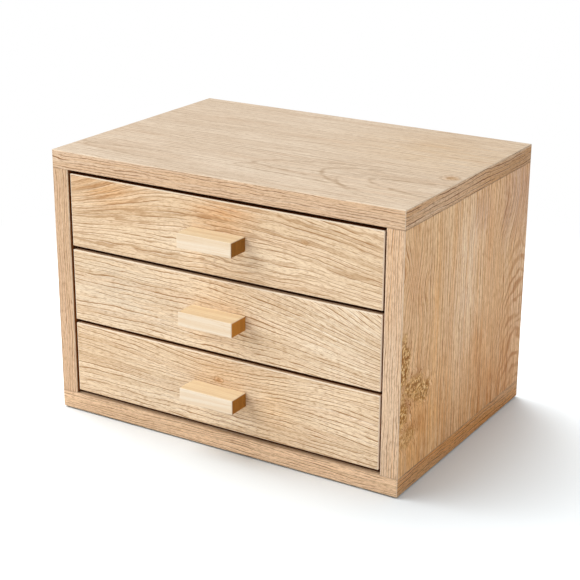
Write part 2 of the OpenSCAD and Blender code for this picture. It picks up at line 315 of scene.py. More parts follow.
# Places and sizes that the groups of a figure take: one spot of the board, an arch and a loop
SPOT = ("At along", "At across", "Reach along", "Reach across")
ARCH = ("Axis", "Tip", "Curve", "Spacing", "Middle", "Reach along", "Reach across")
LOOP = ("Tip along", "Tip across", "Above", "Below", "Reach", "Thick")


def spot_hump(tree, given, along, across):
    """The soft hump round the spot that a group is given."""
    return tree.hump(along, across, *(given[name] for name in SPOT))


@node_group((), vectors=("Position", "Normal"))
def board_face(tree, given):
    """Where a point is on the veneer of a board, whose own axes are length, width and thickness.

    On the two large faces the grain runs along the length, on the long edges too, and on the ends across
    the width. Main is 1 on the large faces and End on the ends. Seed differs from face to face, Side is 1
    and -1 on the two large faces, Outward is 1 on the faces towards the end of an axis and Eased is 1 on
    the rounded edges between the faces."""
    length_way, width_way, thickness_way = tree.split(given["Position"])
    nx, ny, nz = tree.split(given["Normal"])
    ax, ay, az = (abs(part) for part in (nx, ny, nz))
    end, long_edge = ax > FACING, ay > FACING
    main = tree.math("SUBTRACT", 1 - end, long_edge, clamp=True)
    outward = nx + ny + nz > 0
    flattest = tree.math("MAXIMUM", tree.math("MAXIMUM", ax, ay), az)
    return {
        "Along": tree.choose(end, length_way, width_way), "Across": tree.choose(main, thickness_way, width_way),
        "Seed": end * 1.7 + long_edge * 3.1 + outward * 5.3, "Main": main, "End": end, "Side": nz,
        "Outward": outward, "Eased": tree.span(flattest, 0.92, 0.992, 1, 0),
    }


@node_group(("Flow", "Along", "Across", *SPOT, "Push"))
def grain_bend(tree, given):
    """Bends the grain lines by a soft hump: Flow - Push * exp(-(u * u + v * v)) round a spot."""
    hump = spot_hump(tree, given, given["Along"], given["Across"])
    return {"Flow": given["Flow"] - hump * given["Push"]}


@node_group(("Flow", "Along", "Across", *SPOT))
def grain_knot(tree, given):
    """Leads the grain lines round a knot, and gives its dark heart, the ring round it and its orange halo."""
    along, across = given["Along"], given["Across"]
    stir = (tree.noise(along * 260, across * 420, 3) - 0.5) * 0.004
    hump = spot_hump(tree, given, along + stir, across - stir)
    return {
        "Flow": given["Flow"] - (across - given["At across"]) * 0.8 * hump,
        "Heart": tree.span(hump, 0.62, 0.92), "Halo": tree.span(hump, 0.08, 0.75),
        "Ring": tree.span(hump, 0.18, 0.3) * tree.span(hump, 0.52, 0.36),
    }


@node_group(("Along", "Across", *ARCH, "Way"))
def cathedral(tree, given):
    """Nested arches of one figure: with v the distance from the axis and u that behind the tip, line number
    n = (v * v / Curve - u) / Spacing, dark where n is whole, inside a soft hump round the middle."""
    along, across, axis = given["Along"], given["Across"], given["Axis"]
    stir = tree.noise(along * 60, across * 60, 5) - 0.5
    beside = across - axis + stir * 0.006
    behind = (along - given["Tip"]) * given["Way"]
    arch = (beside * beside / given["Curve"] - behind) / given["Spacing"]
    uneven = tree.noise(behind * 26, beside * 16, 3, 1)
    line = tree.span(tree.math("COSINE", (arch + (stir * 1.3 + uneven * 4)) * TURN), -0.1, 0.95)
    broken = tree.span(tree.noise(behind * 60, beside * 60, 6), 0.32, 0.58, 0.3, 1)
    hump = tree.hump(along, across, given["Middle"], axis, given["Reach along"], given["Reach across"])
    return {"Line": line * broken * tree.span(hump, 0.2, 0.75)}


@node_group(("Along", "Across", *LOOP))
def grain_loop(tree, given):
    """One line round a tip: with v the distance beside the tip and u that behind it, the line runs where
    n = v * v / curve - u is zero. Its distance is n / sqrt(1 + (2 * v / curve) ** 2), and Above and Below
    are the curves on its two sides."""
    along, across = given["Along"], given["Across"]
    stir = tree.noise(along * 90, across * 140, 9, 3) - 0.5
    beside = across - given["Tip across"] + stir * 0.006
    behind = along - given["Tip along"]
    curve = tree.choose(beside > 0, given["Below"], given["Above"])
    lean = beside * 2 / curve
    away = (beside * beside / curve - behind) / tree.math("SQRT", lean * lean + 1) / given["Thick"]
    line = tree.math("EXPONENT", away * away * -1)
    left = tree.span(behind / given["Reach"], 0.45, 1, 1, 0)
    broken = tree.span(tree.noise(along * 130, across * 130, 2), 0.36, 0.6, 0.35, 1)
    return {"Line": line * left * broken}


@node_group(("Flow", "Along", "Across", *SPOT))
def burl(tree, given):
    """A cluster of small pin knots: swirls the grain and gives dark and pale specks inside a soft hump."""
    along, across = given["Along"], given["Across"]
    edge = (tree.noise(along * 120, across * 120, 1) - 0.5) * 0.9
    hump = spot_hump(tree, given, along, across)
    inside = tree.span(hump + edge, 0.3, 0.75)
    swirl = tree.noise(along * 190, across * 190, 5, 1) - 0.5
    speck = tree.noise(along * 300, across * 330, 9, 3)
    curl = tree.noise(along * 105, across * 125, 4, 2)
    curl = tree.math("SINE", curl * (TURN / 0.13))
    dark = tree.math("MAXIMUM", tree.span(speck, 0.47, 0.56), tree.span(curl, 0.3, 0.9) * 0.8)
    return {
        "Flow": given["Flow"] + swirl * hump * 0.02, "Inside": inside, "Dark": inside * dark,
        "Pale": inside * (tree.span(curl, -0.2, -0.85) * tree.span(speck, 0.58, 0.46)),
    }


@node_group(("Along", "Flow", "Ring", "Seed", "Streaks", "Pores", "Bands", "Rings", "Fineness"),
            colours=("Pale", "Tan", "Rose", "Pore"))
def oak_grain(tree, given):
    """Oak from its broad tones down to its pores. Along is the place along the grain, Flow the place
    across it with every bend taken out, and Ring the same for the growth bands."""
    along, seed, fineness, streaks = given["Along"], given["Seed"], given["Fineness"], given["Streaks"]
    pale, tan, dark = given["Pale"], given["Tan"], given["Pore"]
    drift = tree.noise(along * 22, given["Flow"] * 75, seed) - 0.5
    ripple = tree.noise(along * 110, given["Flow"] * 240, seed, 1) - 0.5
    wobble = drift * 0.005 + ripple * 0.0008
    flow = (given["Flow"] + wobble) * fineness
    ring = (given["Ring"] + wobble) * fineness

    layer, ring_layer = tree.layers(along, flow, seed), tree.layers(along, ring, seed)

    broad = tree.span(layer(6, 38, 11), 0.34, 0.68)
    rosy = tree.span(layer(9, 90, 23), 0.48, 0.72)
    band = ring_layer(3, 230, 37, 1.5)
    colour = tree.tint(broad * 0.4, pale, tan)
    colour = tree.tint(rosy * 0.3, colour, given["Rose"])
    colour = tree.tint(tree.span(band, 0.5, 0.66) * given["Bands"], colour, tan)
    annual = tree.comb(ring, 0.0043, ring_layer(5, 45, 41) * 3 + drift * 1.2)
    annual = tree.span(annual, 0.35, 0.95) * tree.span(ring_layer(14, 120, 43), 0.4, 0.6, 0.35, 1)
    colour = tree.tint(annual * given["Rings"], colour, dark)

    crowd = tree.span(band, 0.34, 0.58, 0.55, 1)
    sway = layer(6, 34, 51) * 3 + layer(30, 260, 53) * 0.42 + layer(8, 110, 55) * 0.7
    dash = tree.span(layer(30, 360, 57, 3), 0.38, 0.53)
    line = tree.span(tree.comb(flow, 0.0036, sway), 0.74, 0.99) * dash
    # Painted highlight: a pale line next to each dark line, as light would catch a raised ridge.
    beside = tree.span(tree.comb(flow, 0.0036, sway + 0.17), 0.66, 0.985) * dash
    between = tree.span(tree.comb(flow, 0.0019, sway * 2), 0.45, 0.95)
    between = between * tree.span(layer(125, 800, 59), 0.46, 0.6)
    stroke = tree.span(layer(210, 1250, 61, 1), 0.54, 0.63)
    pore = tree.span(layer(190, 3100, 71, 1), 0.53, 0.64) * crowd
    fibre = tree.span(layer(30, 2300, 83), 0.3, 0.72, -0.05, 0.05)
    # Tone of that painted highlight beside the dark lines.
    light = tree.tint(0.3, pale, WHITE)
    for mask, amount, mark_tone in (
            (beside, 0.38, light), (between, 0.38, dark), (stroke, 0.36, dark), (line, 1, dark)):
        colour = tree.tint(mask * streaks * amount, colour, mark_tone)
    colour = tree.tint(pore * given["Pores"], colour, dark)
    return {
        "Color": tree.add("ShaderNodeHueSaturation", {"Value": 1.0 + fibre, "Color": colour})[0],
        "Roughness": (pore + line) * 0.1 + 0.48,
        "Height": (pore + line * 0.5) * -1,
    }


@node_group(("Along", "Across", "Seed", "Lines", "Flecks"), colours=("Color", "Line"))
def plain_wood(tree, given):
    """Close-grained wood: soft stripes, fine lines and small flecks along the grain."""
    along, seed = given["Along"], given["Seed"]
    drift = tree.noise(along * 14, given["Across"] * 60, seed) - 0.5
    across = given["Across"] + drift * 0.007
    layer = tree.layers(along, across, seed)
    stripe = tree.span(layer(4, 190, 5), 0.38, 0.66)
    line = tree.span(layer(18, 900, 13), 0.5, 0.7)
    fleck = tree.span(layer(300, 2300, 29, 1), 0.6, 0.7)
    lines = given["Lines"] * 0.6
    colour = given["Color"]
    for mask in (stripe * lines, line * lines, fleck * given["Flecks"]):
        colour = tree.tint(mask, colour, given["Line"])
    return {
        "Color": colour, "Roughness": tree.span(line, 0, 1, 0.5, 0.62), "Height": (line + fleck) * -0.5,
    }


# ---------------------------------------------------------------- materials

# Depths of the relief in metres
OAK_RELIEF, WOOD_RELIEF, ZINC_RELIEF, FELT_RELIEF = 0.00008, 0.00004, 0.00002, 0.0002
# Tones of a burl's wood and its specks, of the pores on edges and ends, and of the lines between boards
BURL_WOOD, BURL_PALE, BURL_DARK = (0.8, 0.43, 0.125), (1, 0.78, 0.42), (0.28, 0.088, 0.008)
EDGE_PORE, END_PORE = (0.27, 0.12, 0.045, 1), (0.2, 0.075, 0.02, 1)
SEAM = (0.2, 0.075, 0.02, 1)
# What finished veneer keeps of its palest tone
GRAIN_KEEPS = 0.82
# Distance from one glue line of the thin plywood to the next
PLY = 0.002


def colour4(values):
    """A tone with alpha 1."""
    return (*values, 1)


def start_material(name):
    """A new material and its tree."""
    material = bpy.data.materials.new(name)
    material.use_nodes = True
    return material, Tree(material.node_tree)


def finish_surface(material, tree, colour, roughness, height, depth, specular=0.05, more=()):
    """Links colour, roughness and a bump of that depth in metres to the material's shader. more are its
    other sockets that aren't left as they are, with their constants."""
    shader = material.node_tree.nodes["Principled BSDF"]
    bump = tree.add("ShaderNodeBump", {"Strength": 0.6, "Distance": depth, "Height": height})
    tree.feed(shader.inputs["Base Color"], colour)
    tree.feed(shader.inputs["Roughness"], roughness)
    tree.feed(shader.inputs["Normal"], bump[0])
    for socket, value in (("Specular IOR Level", specular), *more):
        shader.inputs[socket].default_value = value
    return material


def on_board(tree, axes):
    """The board_face group fed with object coordinates, put in the board's own order, such as "XYZ"."""
    order = ["XYZ".index(axis) for axis in axes]
    point, normal = tree.point(), tree.normal()
    return tree.place(board_face(), {
        "Position": tree.join(*(point[part] for part in order)),
        "Normal": tree.join(*(normal[part] for part in order)),
    })


def oak_figure(tree, face, dark, bends, knots, burls, arches, loops):
    """Lays out a board's figure. Gives back the place across the grain with every bend taken out, and the
    marks, each with its mask, its strength and its tone."""
    flame, heart = bpy.context.scene.cabinet_oak.flame, bpy.context.scene.cabinet_oak.pore
    along, across, flow = face["Along"], face["Across"], face["Across"]
    marks = []

    def place(group, names, sizes, **more):
        """A group of the figure, with its places and sizes in millimetres."""
        values = {name: size * MM for name, size in zip(names, sizes)}
        return tree.place(group, {"Along": along, "Across": across, **values, **more})

    for *spot, push in bends:
        flow = place(grain_bend(), SPOT, spot, Flow=flow, Push=face["Main"] * (push * MM))["Flow"]
    for *spot, amount in knots:
        knot = place(grain_knot(), SPOT, spot, Flow=flow)
        flow = knot["Flow"]
        marks += [(knot["Halo"], 0.5 * amount, flame), (knot["Ring"], 0.8 * amount, dark),
                  (knot["Heart"], amount, heart)]
    for *spot, amount in burls:
        cluster = place(burl(), SPOT, spot, Flow=flow)
        flow = cluster["Flow"]
        marks += [(cluster["Inside"], 0.75 * amount, BURL_WOOD), (cluster["Pale"], 0.75 * amount, BURL_PALE),
                  (cluster["Dark"], 0.85 * amount, BURL_DARK)]
    for *sizes, way, amount in arches:
        marks.append((place(cathedral(), ARCH, sizes, Way=way)["Line"], amount, dark))
    for *sizes, amount in loops:
        marks.append((place(grain_loop(), LOOP, sizes)["Line"], amount, dark))
    return flow, marks


def oak_veneer(name, axes, seed, bends=(), knots=(), burls=(), arches=(), loops=(), glows=(), strength=1.0,
               rise=0.0, rings=0.12, ring_scale=1.0, fineness=1.0, pale=None, tan=None, pore=None, band=None,
               end=None, fade=0.0, inner=0, lip=0.0, seams=(), eased=0.45):
    """Oak veneer for one board. All places and reaches are in millimetres, along and across the grain.

    bends are (along, across, reach along, reach across, push); knots and burls the first four of these
    and a strength; arches (axis, tip, curve, spacing, middle, reach along, reach across, way, strength),
    with 1 or -1 for the way they open; loops (tip along, tip across, curve above, curve below, reach,
    thickness, strength); glows (along, across, reach along, reach across, strength, tone). strength is
    that of the grain and rise what it gains per metre. pale, tan and pore are the tones of the faces, band
    that of the edges and end that of the sawn ends, which fade darkens towards the back. inner is the side,
    1 or -1, that faces inwards and gets painted shade; a drawer front has none and gets painted shade on its
    edges, which darkens the gaps between the drawers. lip is how far behind the fronts' faces the painted
    shade starts. seams are the heights at which two boards meet, each with the strength of its line on the
    edges and on the faces, and eased is the strength of the painted highlight on the rounded edges."""
    oak = bpy.context.scene.cabinet_oak
    pale, tan, pore = pale or oak.pale, tan or oak.tan, pore or oak.pore
    material, tree = start_material(name)
    face = on_board(tree, axes)
    along, main = face["Along"], face["Main"]
    flow, marks = oak_figure(tree, face, pore, bends, knots, burls, arches, loops)
    banded = 1 - main
    band = colour4(band or oak.edge)
    if end:
        # End grain is darker than the faces. The difference between the two ends is painted shade: ends facing +X,
        # on the shaded side, take the full end tone, and those facing -X only part of it.
        sawn = face["End"] * tree.choose(face["Outward"], 0.35, 1)
        band = tree.tint(sawn, band, colour4(end))
        band = tree.shade(sawn * tree.span(along, 0, 0.1, 0, fade), band, BLACK)
    grain = tree.place(oak_grain(), {
        "Along": along, "Flow": flow, "Ring": flow * ring_scale, "Seed": face["Seed"] + seed,
        "Pale": tree.tint(banded, colour4(pale), band), "Tan": colour4(tan), "Rose": colour4(oak.rose),
        "Pore": tree.tint(banded, colour4(pore), tree.tint(face["End"], EDGE_PORE, END_PORE)),
        "Streaks": tree.choose(banded, (along * rise + strength) * oak.streaks, 1),
        "Pores": oak.pores * strength, "Bands": tree.choose(banded, oak.bands * strength, oak.bands),
        "Rings": main * rings, "Fineness": tree.choose(banded, fineness, tree.choose(face["End"], 1.7, 1.15)),
    })
    colour = grain["Color"]
    stir = tree.noise(along * 26, flow * 330, 2, 3)
    for *place, amount, glow_tone in glows:
        glow = tree.hump(along, face["Across"], *(part * MM for part in place))
        glow = glow * main * tree.span(stir, 0.34, 0.62, 0.3 * amount, amount)
        change = colour4([part / (GRAIN_KEEPS * base) for part, base in zip(glow_tone, pale)])
        colour = tree.shade(glow, colour, change)
    for mask, amount, mark_tone in marks:
        colour = tree.tint(mask * main * amount, colour, colour4(mark_tone))
    point = tree.point()
    # Painted shade: the faces inside the cabinet, and the drawer fronts' edges from lip behind their faces, are
    # darkened so the gaps between the parts look dark.
    painted_shade_mask, painted_shade_tone = banded, oak.core
    if inner:
        painted_shade_mask, painted_shade_tone = face["Side"] * inner > 0.5, oak.inside
    start = FRONT_FACE + lip * MM
    behind = tree.span(point[1], start - 0.5 * MM, start + 0.5 * MM)
    colour = tree.shade(painted_shade_mask * behind, colour, colour4(painted_shade_tone))
    # Painted highlight: the rounded edges are paled, less on those that face down, as if light from above caught
    # them.
    painted_edge_highlight = face["Eased"] * tree.span(tree.normal()[2], -0.5, -0.15, 0.25 * eased, eased)
    colour = tree.tint(painted_edge_highlight, colour, colour4(oak.arris))
    for height, on_edges, on_faces in seams:
        amount = tree.choose(main, on_edges, on_faces)
        near = tree.span(abs(point[2] - height * MM), 0.0002, 0.0008, amount, 0)
        colour = tree.tint(near * tree.span(stir, 0.3, 0.62, 0.2, 0.8), colour, SEAM)
    return finish_surface(material, tree, colour, grain["Roughness"], grain["Height"], OAK_RELIEF)


def solid_wood(name, axes, seed, colour, line, lines, flecks, end=None, flat=None, end_flecks=0.3):
    """Solid wood of one length direction, with its own tone on the ends and on the level faces."""
    material, tree = start_material(name)
    face = on_board(tree, axes)
    sawn = face["End"]
    body = tree.tint(abs(tree.normal()[2]) > FACING, colour4(colour), colour4(flat or colour))
    # End grain is darker than the faces. The difference between the two ends is painted shade: ends facing +X, on
    # the shaded side, take the full end tone, and those facing -X only part of it.
    body = tree.tint(sawn * tree.choose(face["Outward"], 0.62, 1), body, colour4(end or colour))
    dark_end = colour4([0.6 * part for part in end or line])
    wood = tree.place(plain_wood(), {
        "Along": face["Along"], "Across": face["Across"], "Seed": face["Seed"] + seed, "Color": body,
        "Line": tree.tint(sawn, colour4(line), dark_end), "Lines": lines,
        "Flecks": tree.choose(sawn, flecks, end_flecks)})
    tinted = tree.tint(face["Eased"] * 0.35, wood["Color"], colour4(colour))
    return finish_surface(material, tree, tinted, wood["Roughness"], wood["Height"], WOOD_RELIEF)


def thin_sheet(name, axes, seed):
    """Thin plywood: a broad rotary-cut figure on its faces and its plies on its edges."""
    inside = bpy.context.scene.cabinet_inside
    line = colour4(inside.sheet_line)
    material, tree = start_material(name)
    face = on_board(tree, axes)
    along, across = face["Along"], face["Across"]
    sway = tree.noise(along * 7, across * 11, seed + 1, 3) - 0.5
    bent = across + sway * 0.055
    figure = tree.span(tree.noise(along * 2, bent * 140, seed + 7), 0.48, 0.66)
    wood = tree.place(plain_wood(), {
        "Along": along, "Across": bent, "Seed": face["Seed"] + (seed + 3), "Color": colour4(inside.sheet),
        "Line": line, "Lines": 0.3, "Flecks": 0.35})
    colour = tree.tint(figure * 0.38, wood["Color"], line)
    plies = tree.span(tree.math("SINE", across * (TURN / PLY)), 0.2, 0.6) * (1 - face["Main"])
    colour = tree.tint(plies * 0.6, colour, line)
    return finish_surface(material, tree, colour, wood["Roughness"], wood["Height"], WOOD_RELIEF)


def zinc_plating(name):
    """Bright zinc on steel: fine turned scratches and small cloudy spots."""
    zinc = bpy.context.scene.cabinet_inside.zinc
    material, tree = start_material(name)
    x, y, z = tree.point()
    cloud = tree.noise(x * 700, y * 700, z * 700)
    scratch = tree.noise(x * 9000, y * 1200, z * 9000)
    colour = tree.tint(tree.span(cloud, 0.42, 0.7), colour4(zinc), colour4([0.72 * part for part in zinc]))
    roughness = tree.span(scratch, 0.3, 0.7, 0.26, 0.44)
    return finish_surface(material, tree, colour, roughness, scratch, ZINC_RELIEF, 0.5, [("Metallic", 1)])


def felt_fibres(name):
    """Pressed felt: short tangled fibres, paler and darker."""
    felt = bpy.context.scene.cabinet_inside.felt
    material, tree = start_material(name)
    x, y, z = tree.point()
    one = tree.noise(x * 5200, y * 1300, z * 3000, 3)
    two = tree.noise(x * 1300, y * 5200, z * 3000, 3)
    fibres = tree.math("MAXIMUM", one, two)
    colour = tree.tint(tree.span(fibres, 0.48, 0.72), colour4(felt), colour4([1.7 * part for part in felt]))
    roughness = tree.span(fibres, 0.3, 0.8, 0.85, 1)
    return finish_surface(material, tree, colour, roughness, fibres, FELT_RELIEF, 0.1, [("Sheen Weight", 0.3)])


def put(name, data):
    """A new object with that data, in the scene."""
    thing = bpy.data.objects.new(name, data)
    bpy.context.scene.collection.objects.link(thing)
    return thing


def dress(node, material):
    """Gives a CAD node its material."""
    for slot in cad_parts[node].material_slots:
        slot.material = material


# ---------------------------------------------------------------- operators

class CABINET_OT_veneer_boards(Operator):
    """Oak veneer on the four boards of the cabinet"""

    bl_idname = "cabinet.veneer_boards"
    bl_label = "Veneer the boards"

    def execute(self, context):
        brown, rust, honey = (0.64, 0.3, 0.08), (0.72, 0.36, 0.16), (0.86, 0.47, 0.14)
        cream, umber, mauve = (0.97, 0.79, 0.58), (0.38, 0.15, 0.03), (0.6, 0.41, 0.3)
        seams = ((16, 0.6, 0.4), (211, 0.7, 1))
        dress("top_panel", oak_veneer(
            "oak_top_panel", "XYZ", 2, strength=0.62, rings=0.34, inner=-1, pale=(1, 0.83, 0.645),
            tan=(0.84, 0.65, 0.47), pore=(0.46, 0.28, 0.14), band=(0.765, 0.53, 0.335), end=(0.73, 0.42, 0.2),
            fade=0.19, seams=seams,
            bends=[(60, -70, 80, 26, -5)],
            knots=[(149, -9, 7, 7.5, 0.34)],
            burls=[(151, -10, 6, 6, 0.3)],
            loops=[
                (-2, -48.5, 15, 1.9, 110, 1.8, 0.5), (56, -38, 10, 30, 80, 1.9, 0.46),
                (99, -44.5, 3, 9, 80, 2, 0.56), (-150, -72, 2, 1.5, 125, 1.8, 0.46),
                (74, -46, 6, 42, 66, 1.7, 0.3), (-12, -60, 3, 1.2, 140, 1.5, 0.4)],
            glows=[(115, 62, 85, 60, 0.95, (0.775, 0.59, 0.395)), (110, -80, 60, 36, 0.3, cream)]))
        dress("bottom_panel", oak_veneer(
            "oak_bottom_panel", "XYZ", 61, inner=1, lip=4, band=(0.975, 0.685, 0.44), end=(0.8, 0.37, 0.115),
            fade=0.05, seams=seams,
            arches=[(10, -60, 15, 30, 0, 110, 50, 1, 0.3)]))
        dress("left_side_panel", oak_veneer(
            "oak_left_side", "ZYX", 83, inner=1, rings=0.25, seams=seams, band=(0.785, 0.54, 0.35),
            arches=[(15, 205, 16, 22, 105, 95, 45, -1, 0.4)]))
        # The right side's tones are warmer and more saturated than the other boards'. This is partly its own wood
        # and partly painted light, standing in for the warm light in its shade.
        dress("right_side_panel", oak_veneer(
            "oak_right_side", "ZYX", 97, inner=-1, strength=0.96, rings=0.3, fineness=0.85,
            seams=((16, 0.6, 0.1), (211, 0.45, 0.7)), pale=(0.99, 0.705, 0.42), tan=(0.87, 0.5, 0.23),
            pore=(0.44, 0.155, 0.027), band=(0.85, 0.63, 0.43),
            burls=[
                (108, -100, 22, 13, 1), (84, -82, 10, 19, 0.9), (75, -66, 10, 15, 0.9),
                (66, -100, 12, 11, 0.9), (46, -90, 9, 16, 0.5)],
            arches=[(108, 133, 34, 12, 74, 84, 46, -1, 0.65)],
            bends=[
                (95, -95, 34, 26, -12), (196, 96, 34, 36, 14), (150, 78, 20, 16, -5), (180, -94, 18, 12, 9),
                (158, -74, 22, 12, -8)],
            glows=[
                (165, 12, 62, 28, 0.55, cream), (96, -2, 70, 22, 0.3, cream), (91, -78, 7, 10, 0.8, umber),
                (71, -94, 8, 11, 0.8, umber), (50, -84, 7, 14, 0.7, umber), (106, -99, 21, 8, 0.6, umber),
                (40, -70, 50, 50, 0.62, honey), (26, 55, 60, 85, 0.62, brown), (165, -84, 24, 17, 0.25, rust),
                (192, 106, 34, 32, 0.9, mauve), (90, 116, 90, 26, 0.4, mauve), (46, 38, 42, 7, 0.45, brown),
                (24, 60, 34, 9, 0.5, brown), (176, 78, 30, 9, 0.5, mauve), (160, 46, 34, 6, 0.35, rust),
                (138, -46, 60, 7, 0.4, honey), (60, -30, 60, 6, 0.4, brown), (60, 86, 40, 8, 0.4, brown),
                (192, 31, 18, 16, 0.6, mauve), (76, 31, 24, 14, 0.5, brown), (30, 92, 32, 20, 0.3, brown)]))
        return {"FINISHED"}


class CABINET_OT_veneer_fronts(Operator):
    """Oak veneer on the three drawer fronts, each with its own figure"""

    bl_idname = "cabinet.veneer_fronts"
    bl_label = "Veneer the drawer fronts"

    def execute(self, context):
        flame = tuple(context.scene.cabinet_oak.flame)
        cream, rosy = (1, 0.86, 0.66), (0.7, 0.42, 0.2)
        milk, dusk = (0.78, 0.69, 0.54), (0.62, 0.49, 0.35)
        dress("top_drawer_front", oak_veneer(
            "oak_top_front", "XZY", 11, lip=0.8, eased=0.9, rings=0.45, ring_scale=0.6, strength=0.94,
            bends=[(-190, 214, 85, 42, -46), (250, 190, 120, 60, -34), (-45, 205, 40, 16, 3)],
            knots=[(77, 188, 2.5, 1.6, 0.3)],
            glows=[
                # The cream glow at (0, 157), just under the handle, is painted light that lifts the handle's cast
                # shadow.
                (4, 199, 26, 11, 0.66, flame), (-110, 198, 38, 14, 0.85, rosy), (0, 157, 30, 7, 0.4, cream),
                (-40, 166, 26, 16, 0.35, milk), (-125, 178, 24, 40, 0.25, dusk)]))
        dress("middle_drawer_front", oak_veneer(
            "oak_middle_front", "XZY", 29, lip=4.2, eased=0.9, strength=1.08, rise=1.3, fineness=0.86,
            bends=[(270, 140, 145, 46, -98)],
            glows=[
                (-12, 127, 28, 9, 0.2, cream), (-100, 117, 56, 34, 0.85, (0.67, 0.56, 0.42)),
                # The cream glow at (0, 92), just under the handle, is painted light that lifts the handle's cast
                # shadow.
                (112, 127, 45, 40, 0.5, (0.97, 0.9, 0.75)), (0, 92, 30, 7, 0.4, cream),
                (42, 128, 20, 12, 0.28, cream), (-40, 102, 26, 15, 0.45, milk)]))
        dress("bottom_drawer_front", oak_veneer(
            "oak_bottom_front", "XZY", 47, lip=3.2, eased=0.9, strength=1.12, rise=0.8,
            bends=[(0, 74, 80, 22, -14), (230, 60, 110, 50, -14)],
            knots=[(-1, 60.4, 4.5, 2.6, 0.55)],
            glows=[
                (4, 68, 28, 13, 0.24, rosy), (50, 50, 18, 22, 0.5, (0.92, 0.66, 0.38)),
                # The cream glow at (0, 27), just under the handle, is painted light that lifts the handle's cast
                # shadow.
                (114, 62, 40, 40, 0.35, cream), (0, 27, 32, 7, 0.95, cream), (-58, 38, 42, 17, 0.5, milk)]))
        return {"FINISHED"}


class CABINET_OT_dress_handles(Operator):
    """Pale solid wood on the three handle blocks"""

    bl_idname = "cabinet.dress_handles"
    bl_label = "Dress the handles"

    def execute(self, context):
        inside = context.scene.cabinet_inside
        for step, drawer in enumerate(DRAWERS):
            shade, flecks = HANDLE_ENDS[drawer]
            dress(f"{drawer}_drawer_handle", solid_wood(
                f"{drawer}_handle_wood", "XZY", 5 + 3 * step, inside.handle, inside.handle_line, 0.75, 0.3,
                end=[shade * part for part in inside.handle_end], flat=inside.handle_flat, end_flecks=flecks))
        return {"FINISHED"}


class CABINET_OT_dress_drawer_boxes(Operator):
    """Plain wood on the drawer sides and backs, thin plywood on the bottoms and the cabinet's back"""

    bl_idname = "cabinet.dress_drawer_boxes"
    bl_label = "Dress the drawer boxes"

    def execute(self, context):
        inside = context.scene.cabinet_inside
        for step, drawer in enumerate(DRAWERS):
            for part, axes, seed in (
                    ("left_side", "YZX", 7 * step + 4), ("right_side", "YZX", 7 * step + 5),
                    ("back", "XZY", 5 * step + 31)):
                dress(f"{drawer}_drawer_{part}", solid_wood(
                    f"{drawer}_{part}_wood", axes, seed, inside.box, inside.box_line, 0.42, 0.22))
            dress(f"{drawer}_drawer_bottom", thin_sheet(f"{drawer}_bottom_sheet", "XYZ", 51 + 9 * step))
        dress("back_panel", thin_sheet("back_sheet", "XZY", 91))
        return {"FINISHED"}


class CABINET_OT_dress_runners(Operator):
    """Beech on the runners and dowels"""

    bl_idname = "cabinet.dress_runners"
    bl_label = "Dress the runners and dowels"

    def execute(self, context):
        inside = context.scene.cabinet_inside
        beech = (inside.beech, inside.beech_fleck, 0.3, 0.45)
        runner_wood = solid_wood("runner_beech", "YZX", 17, *beech)
        dowel_wood = solid_wood("dowel_beech", "XYZ", 19, *beech)
        dress("carcass_dowels", dowel_wood)
        for drawer in DRAWERS:
            dress(f"{drawer}_left_runner", runner_wood)
            dress(f"{drawer}_right_runner", runner_wood)
            dress(f"{drawer}_drawer_dowels", dowel_wood)
        return {"FINISHED"}


class CABINET_OT_dress_fasteners(Operator):
    """Zinc on the screws and pins"""

    bl_idname = "cabinet.dress_fasteners"
    bl_label = "Dress the screws and pins"

    def execute(self, context):
        zinc = zinc_plating("zinc_plating")
        in_drawers = [f"{drawer}_drawer_{part}" for drawer in DRAWERS for part in ("handle_screws", "bottom_pins")]
        for node in ("runner_screws", "back_panel_pins", *in_drawers):
            dress(node, zinc)
        return {"FINISHED"}


# Radius of a felt pad, number of points round it and up its rim, and how far its edge shrinks in and out
PAD_RADIUS, PAD_TURNS, PAD_RIM, PAD_SHRINK = 0.01, 96, 9, 0.006


def felt_disc(centre, radius, thickness):
    """Points and faces of a felt disc: a flat profile with a full round rim, carried round its axis, the
    radius shrinking a little with the angle as a punched felt edge does."""
    turns = PAD_TURNS
    soft = thickness / 2
    bend = np.linspace(-math.pi / 2, math.pi / 2, PAD_RIM)
    flat = np.array([0.4, 0.8]) * radius
    reach = np.concatenate((flat, radius - soft + soft * np.cos(bend), flat[::-1]))
    height = np.concatenate(([0.0, 0.0], soft + soft * np.sin(bend), [thickness, thickness]))
    angle = np.linspace(0, TURN, turns, endpoint=False)
    waves = np.sin(9 * angle + centre[0] * 70) * np.cos(23 * angle + centre[1] * 90)
    ring = reach[:, None] * (1 - PAD_SHRINK * (1 + waves))[None, :]
    body = np.stack([
        centre[0] + ring * np.cos(angle), centre[1] + ring * np.sin(angle),
        np.repeat(height[:, None], turns, axis=1)], axis=-1).reshape(-1, 3)
    points = np.vstack([body, [[centre[0], centre[1], 0.0], [centre[0], centre[1], thickness]]])
    rows = len(reach)
    first, after = np.arange(turns), (np.arange(turns) + 1) % turns
    row = np.arange(rows - 1)[:, None] * turns
    sides = np.stack([row + first, row + after, row + after + turns, row + first + turns], axis=-1).reshape(-1, 4)
    under = np.stack([np.full(turns, rows * turns), after, first], axis=-1)
    top_row = (rows - 1) * turns
    over = np.stack([np.full(turns, rows * turns + 1), top_row + first, top_row + after], axis=-1)
    return points, sides.tolist() + under.tolist() + over.tolist()


